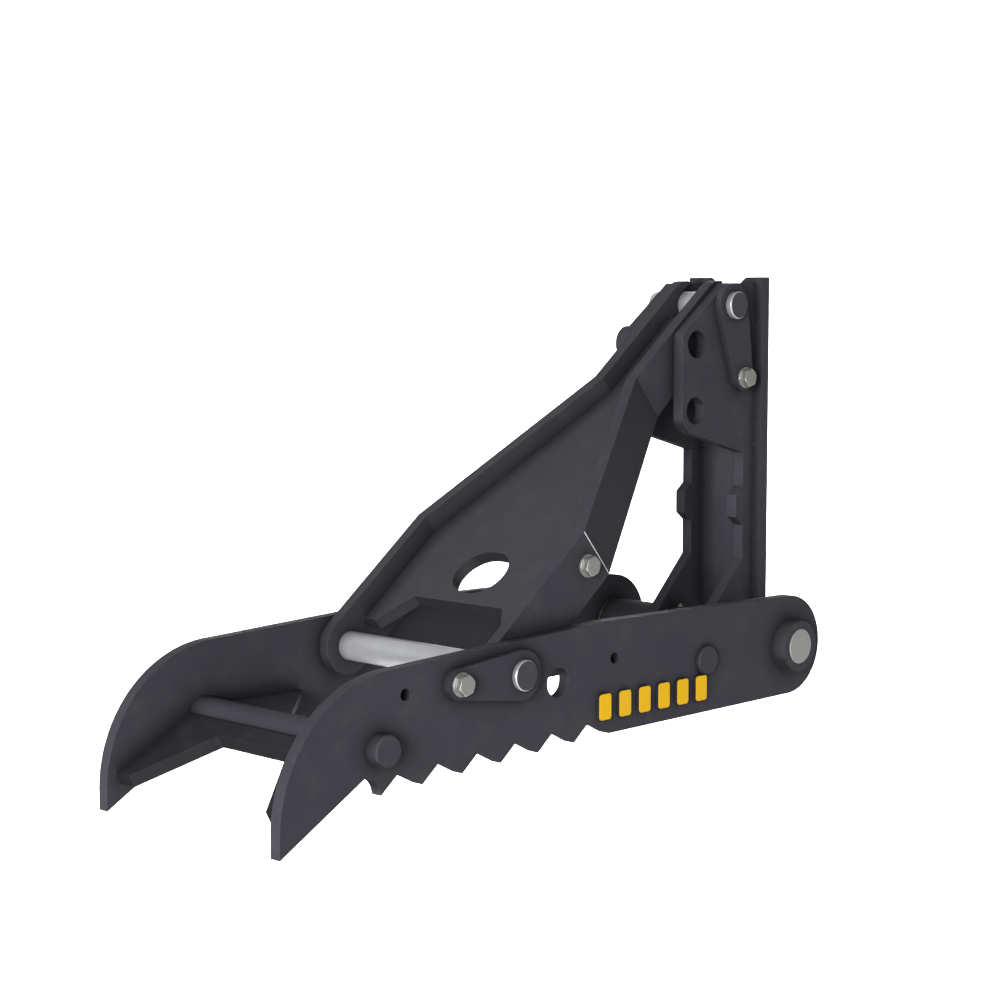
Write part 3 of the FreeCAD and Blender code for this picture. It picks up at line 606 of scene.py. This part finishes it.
# The brace's own axis runs from the lower pin to the upper pin
LOWER_PIN = (-624.5, 29)
UPPER_PIN = (6.142, 545.777)
fold = math.atan2(UPPER_PIN[1] - LOWER_PIN[1], UPPER_PIN[0] - LOWER_PIN[0])
along = Vector((math.cos(fold), 0, math.sin(fold)))
square = Vector((-math.sin(fold), 0, math.cos(fold)))
foot = Vector((LOWER_PIN[0], 0, LOWER_PIN[1]))


def on_brace(s, y, q):
    """A point s along the brace from the lower pin, and q square to it."""
    return spot(*(foot + along * s + square * q + Vector((0, y, 0))))


# Weld paths on the brace, under the web and along both of its bends
WEB_UNDER = -9.4
WEB_EDGE = ((52, 158.6), (240, 158.6), (581, 24.8), (768, 24.8))
brace_paths = [[on_brace(s, sign * y, WEB_UNDER) for s, y in WEB_EDGE] for sign in (1, -1)]
beads("brace_welds", brace_paths, "brace", BRACE_BEAD)

# A thin bright steel strip on the outside of the near brace plate, along its lower fold: a painted highlight
# on the bend
FOLD_HIGHLIGHT_PLACE = 244
FOLD_HIGHLIGHT_RINGS = ((-43.2, 0.45), (-42.6, 0.8), (42.6, 0.8), (43.2, 0.45))
FOLD_HIGHLIGHT_POINTS = 12
fold_highlight = Shape()
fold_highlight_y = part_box("brace_side_right")[0][1] / MM
fold_highlight_rings = []
for q, size in FOLD_HIGHLIGHT_RINGS:
    ring = []
    for step in range(FOLD_HIGHLIGHT_POINTS):
        angle = math.radians(360 / FOLD_HIGHLIGHT_POINTS * step)
        ring.append(on_brace(FOLD_HIGHLIGHT_PLACE + size * math.cos(angle), fold_highlight_y + size * math.sin(angle), q))
    fold_highlight_rings.append(ring)
fold_highlight.rings(fold_highlight_rings)
piece("brace_fold_highlight", fold_highlight.verts, fold_highlight.faces, fold_highlight_steel, "brace", True)

# Weld paths on the base: the ears on the pad and around the pivot tube
EAR_FACES = (65.3, 45.7)
PAD_WELD = 75.7
PAD_WELD_ENDS = (30, 578)
TUBE_WELD = 39.5
base_paths = []
for sign in (1, -1):
    for y in EAR_FACES:
        base_paths.append([spot(PAD_WELD, sign * y, z) for z in PAD_WELD_ENDS])
        ring = []
        for step in range(49):
            angle = math.radians(step * 7.5)
            ring.append(spot(TUBE_WELD * math.cos(angle), sign * y, TUBE_WELD * math.sin(angle)))
        base_paths.append(ring)
beads("base_welds", base_paths, "base", BASE_BEAD)

# Plain raised bars on the near tine, coated behind and yellow in front
BAR_CORNERS = ((-13, -19.5), (13, -19.5), (13, 19.5), (-13, 19.5))
BAR_ROUND = 5
BAR_FIRST = -445
BAR_STEP = 44
BAR_HEIGHT = -41.5


def bars(name, layers, material):
    """Six upright bars with soft corners, from rings of (place along Y, inset)."""
    mark = Shape()
    for number in range(6):
        middle = BAR_FIRST + number * BAR_STEP
        rings = []
        for y, inset in layers:
            ring = []
            for quarter, (x, z) in enumerate(BAR_CORNERS):
                for step in range(5):
                    angle = math.radians(180 + quarter * 90 + step * 22.5)
                    round_x = math.copysign(abs(x) - BAR_ROUND, x) + (BAR_ROUND - inset) * math.cos(angle)
                    round_z = math.copysign(abs(z) - BAR_ROUND, z) + (BAR_ROUND - inset) * math.sin(angle)
                    ring.append(spot(middle + round_x, y, BAR_HEIGHT + round_z))
            rings.append(ring)
        mark.rings(rings)
    piece(name, mark.verts, mark.faces, material, "tine", False)


bars("tine_bar_backs", ((-200.02, 0), (-204.6, 0)), paint)
bars("tine_bars", ((-204.62, 0), (-205.1, 0), (-205.5, 0.4)), yellow)

# Floor and backdrop in one sheet, with a soft bend between them
FLOOR_Z = -2.5
FLOOR_START = -18.0
FLOOR_END = 5.0
BEND_RADIUS = 2.5
BACKDROP_TOP = 9.0
HALF_WIDTH = 16
FLOOR_TONES = ((0.95, 0.95, 0.955, 1), (0.96, 0.96, 0.96, 1))
outline = [(FLOOR_START, FLOOR_Z)]
for step in range(13):
    angle = math.radians(-90 + step * 7.5)
    across = FLOOR_END + BEND_RADIUS * math.cos(angle)
    outline.append((across, FLOOR_Z + BEND_RADIUS + BEND_RADIUS * math.sin(angle)))
outline.append((FLOOR_END + BEND_RADIUS, BACKDROP_TOP))
look = Vector((math.cos(math.radians(CAMERA_YAW)), math.sin(math.radians(CAMERA_YAW)), 0))
side = Vector((-look.y, look.x, 0))
sheet = Shape()
for a, z in outline:
    for b in (-HALF_WIDTH, HALF_WIDTH):
        sheet.verts.append(look * a + side * b + Vector((0, 0, z)))
for i in range(len(outline) - 1):
    sheet.faces.append((2 * i, 2 * i + 1, 2 * i + 3, 2 * i + 2))
floor_nodes = Nodes("studio_floor")
floor_where = floor_nodes.coords()
floor_drift = floor_nodes.ramp(floor_nodes.noise(floor_where, 0.6), 0.3, 0.7)
floor_tone = floor_nodes.blend(floor_drift, *FLOOR_TONES)
floor_material = floor_nodes.finish(Base_Color=floor_tone, Roughness=0.75, Specular_IOR_Level=0.15)
floor_mesh = bpy.data.meshes.new("floor")
floor_mesh.from_pydata([tuple(v) for v in sheet.verts], [], sheet.faces)
floor_mesh.materials.append(floor_material)
floor_mesh.polygons.foreach_set("use_smooth", [True] * len(floor_mesh.polygons))
floor = bpy.data.objects.new("floor", floor_mesh)
scene.collection.objects.link(floor)
floor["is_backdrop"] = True

# Light: a soft studio dome that is brighter on the left, a low soft key and a light over the backdrop
BRIGHT_SIDE = (-0.75, 0.65, 0.12)
DOME_DIM = 0.38
DOME_BRIGHT = 0.75
world = bpy.data.worlds.new("studio")
world.use_nodes = True
sky = world.node_tree
direction = sky.nodes.new("ShaderNodeTexCoord")
brighter = sky.nodes.new("ShaderNodeVectorMath")
brighter.operation = "DOT_PRODUCT"
brighter.inputs[1].default_value = BRIGHT_SIDE
strength = sky.nodes.new("ShaderNodeMapRange")
strength.inputs["From Min"].default_value = 0
strength.inputs["To Min"].default_value = DOME_DIM
strength.inputs["To Max"].default_value = DOME_BRIGHT
sky.links.new(direction.outputs["Generated"], brighter.inputs[0])
sky.links.new(brighter.outputs["Value"], strength.inputs["Value"])
sky.links.new(strength.outputs["Result"], sky.nodes["Background"].inputs["Strength"])
sky.nodes["Background"].inputs["Color"].default_value = (1, 1, 1, 1)
scene.world = world


def area_light(name, place, target, size, power, spread=180):
    data = bpy.data.lights.new(name, "AREA")
    data.shape = "RECTANGLE"
    data.size, data.size_y = size
    data.energy = power
    data.spread = math.radians(spread)
    lamp = bpy.data.objects.new(name, data)
    lamp.location = place
    lamp.rotation_euler = (Vector(target) - Vector(place)).to_track_quat("-Z", "Y").to_euler()
    scene.collection.objects.link(lamp)


area_light("key", (-8.45, -3.8, 0.9), (-0.35, 0, 0), (4, 3.6), 1620)
backdrop_from = look * 2.8 + Vector((0, 0, 4.4))
backdrop_at = look * 6.5 + Vector((0, 0, -1.2))
area_light("backdrop_light", backdrop_from, backdrop_at, (5, 2.5), 480, 100)

low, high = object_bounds()
